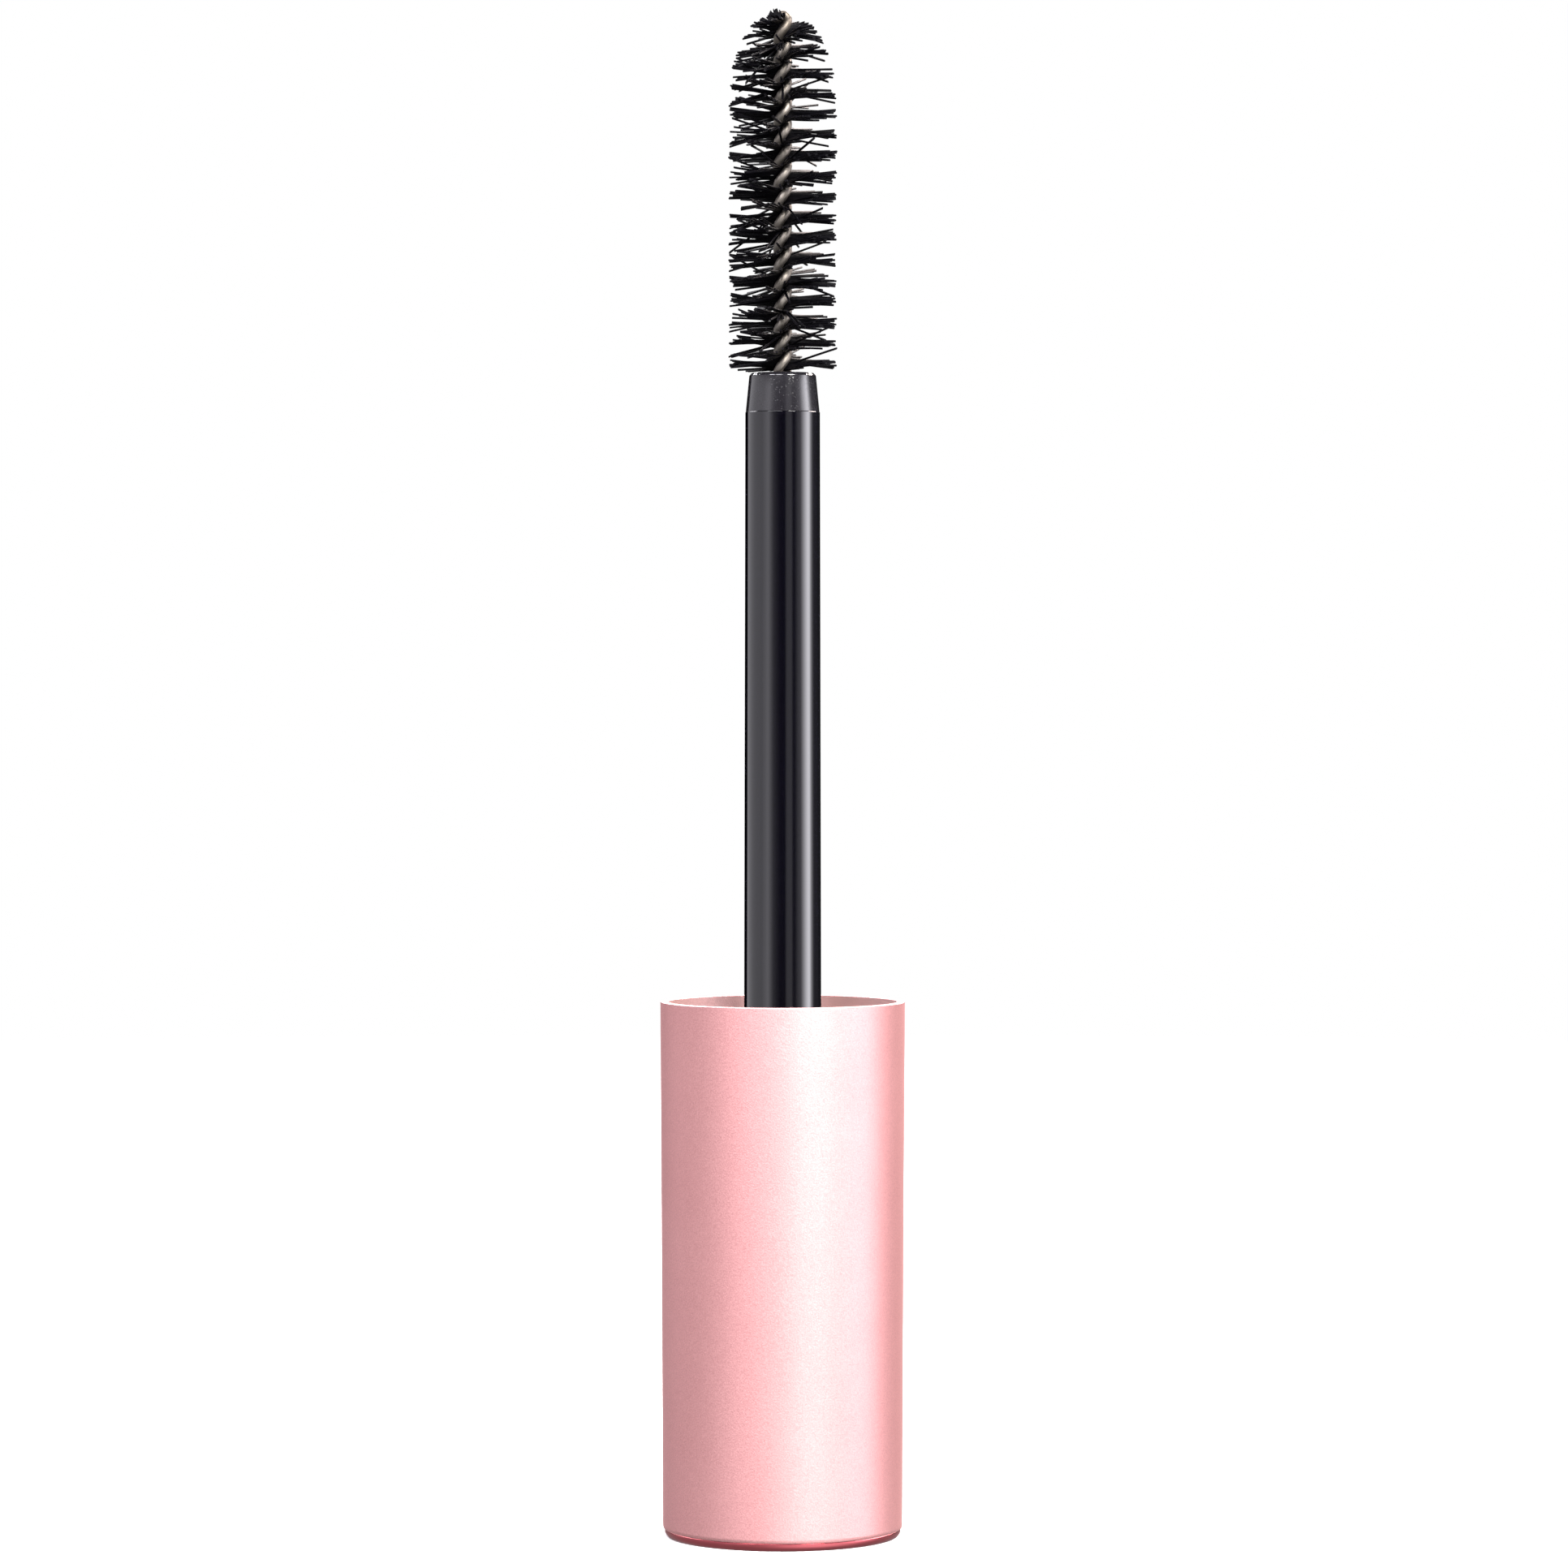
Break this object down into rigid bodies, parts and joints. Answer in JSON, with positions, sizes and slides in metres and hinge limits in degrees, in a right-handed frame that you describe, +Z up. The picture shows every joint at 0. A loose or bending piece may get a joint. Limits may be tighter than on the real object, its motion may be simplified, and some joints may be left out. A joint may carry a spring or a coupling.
{
  "type": "mascara applicator",
  "caption": "Screw cap of a mascara tube with its wand: satin metal sleeve, threaded inner cap, slim tapered stem and a twisted-wire brush, standing on the cap's end.",
  "frame": {"origin": "centre of the flat end face that the cap stands on", "axes": "+Z up the common axis of the cap, stem and brush, towards the brush's tip; +X and +Y are free on this round part"},
  "size_m": [0.018, 0.018, 0.112],
  "materials": {
    "sleeve": "satin anodised",
    "end_plug": "metallised satin rose",
    "weight": "turned",
    "inner_cap": "moulded satin",
    "seal": "soft matte",
    "stem": "gloss",
    "stem_tip": "satin gloss",
    "wire": "drawn",
    "bristles": "satin nylon"
  },
  "bodies": {
    "root": {"cap_sleeve": "sleeve", "cap_end_plug": "end_plug", "cap_weight": "weight", "inner_cap": "inner_cap", "seal_washer": "seal", "wand_stem": "stem", "stem_tip_ferrule": "stem_tip", "brush_wire": "wire", "bristle_row_01": "bristles", "bristle_row_02": "bristles", "bristle_row_03": "bristles", "bristle_row_04": "bristles", "bristle_row_05": "bristles", "bristle_row_06": "bristles", "bristle_row_07": "bristles", "bristle_row_08": "bristles", "bristle_row_09": "bristles", "bristle_row_10": "bristles", "bristle_row_11": "bristles", "bristle_row_12": "bristles", "bristle_row_13": "bristles", "bristle_row_14": "bristles", "bristle_row_15": "bristles", "bristle_row_16": "bristles", "bristle_row_17": "bristles"}
  },
  "joints": []
}
